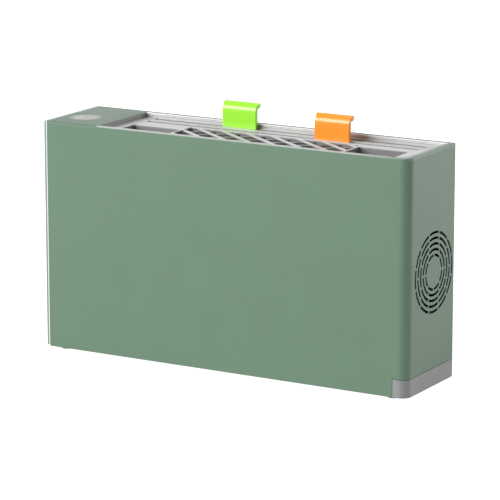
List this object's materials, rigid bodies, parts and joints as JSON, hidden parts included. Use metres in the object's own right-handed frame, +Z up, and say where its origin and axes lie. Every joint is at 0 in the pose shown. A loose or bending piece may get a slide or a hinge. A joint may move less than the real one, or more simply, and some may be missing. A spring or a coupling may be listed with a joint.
{
  "type": "knife sterilizer",
  "caption": "Slim upright knife sterilizer with slots, wells and a lattice in its sunk top, boards with tab handles, a fan behind an arc grille and a drip tray.",
  "frame": {"origin": "on the surface that the feet stand on, under the middle of the housing", "axes": "+X along the front towards the fan side, +Y from front to back, +Z up"},
  "size_m": [0.4, 0.097, 0.2484],
  "materials": {
    "green_shell": "fine matte",
    "green_cap": "fine matte",
    "grey_plastic": "fine matte",
    "light_grey_plastic": "fine matte",
    "white_plastic": "satin",
    "white_trim": "satin",
    "button_plastic": "satin",
    "ring_diffuser": "frosted",
    "lens": "clear",
    "lime_plastic": "semi gloss",
    "orange_plastic": "semi gloss",
    "board_plastic": "fine grain",
    "lamp_glass": "clear",
    "lamp_metal": "satin",
    "black_plastic": "moulded",
    "foam": "open foam",
    "rubber": "moulded",
    "steel": "zinc plated",
    "copper_winding": "enamelled",
    "circuit_board": "solder mask",
    "capacitor_sleeve": "shrink sleeve",
    "ferrite": "fired",
    "connector_plastic": "moulded",
    "led_body": "moulded"
  },
  "bodies": {
    "housing": {"front_shell": "green_shell", "left_end_cap": "light_grey_plastic", "rear_cover": "grey_plastic", "base_plate": "grey_plastic", "rubber_feet": "rubber", "control_cap": "green_cap", "light_ring": "ring_diffuser", "control_board": "circuit_board", "tact_switch": "black_plastic", "ring_leds": "led_body", "top_frame": "white_trim", "tool_rack": "white_plastic", "lattice_upper_bars": "white_plastic", "lattice_lower_bars": "white_plastic", "inner_liner": "white_plastic", "board_rests": "white_plastic", "uv_lamps": "lamp_glass", "lamp_caps": "lamp_metal", "lamp_holders": "white_plastic", "fan_frame": "black_plastic", "fan_stator": "copper_winding", "fan_gasket": "foam", "fan_screws": "steel", "tray_guides": "white_plastic", "power_board": "circuit_board", "capacitors": "capacitor_sleeve", "transformer": "ferrite", "board_connectors": "connector_plastic", "lamp_ballast": "black_plastic", "power_inlet": "black_plastic", "inlet_nut": "steel", "rear_screws": "steel", "base_screws": "steel", "board_screws": "steel"},
    "tray": {"drip_tray": "grey_plastic"},
    "button": {"power_button": "button_plastic", "button_lens": "lens"},
    "rear_board_lift": {"rear_board": "board_plastic", "rear_board_handle": "lime_plastic"},
    "front_board_lift": {"front_board": "board_plastic", "front_board_handle": "orange_plastic"},
    "rotor": {"fan_rotor": "black_plastic"}
  },
  "joints": [
    {"name": "tray_slide", "type": "slide", "parent": "housing", "child": "tray", "axis": [1, 0, 0], "range_m": [0, 0.3]},
    {"name": "button_press", "type": "slide", "parent": "housing", "child": "button", "axis": [0, 0, -1], "range_m": [0, 0.0008], "stiffness_N_per_m": 1000, "springref_m": -0.0006},
    {"name": "rear_board_slide", "type": "slide", "parent": "housing", "child": "rear_board_lift", "axis": [0, 0, 1], "range_m": [0, 0.205]},
    {"name": "front_board_slide", "type": "slide", "parent": "housing", "child": "front_board_lift", "axis": [0, 0, 1], "range_m": [0, 0.205]},
    {"name": "fan_spin", "type": "hinge", "parent": "housing", "child": "rotor", "pos_m": [0.1871, 0.0049, 0.1125], "axis": [1, 0, 0], "continuous": true}
  ]
}
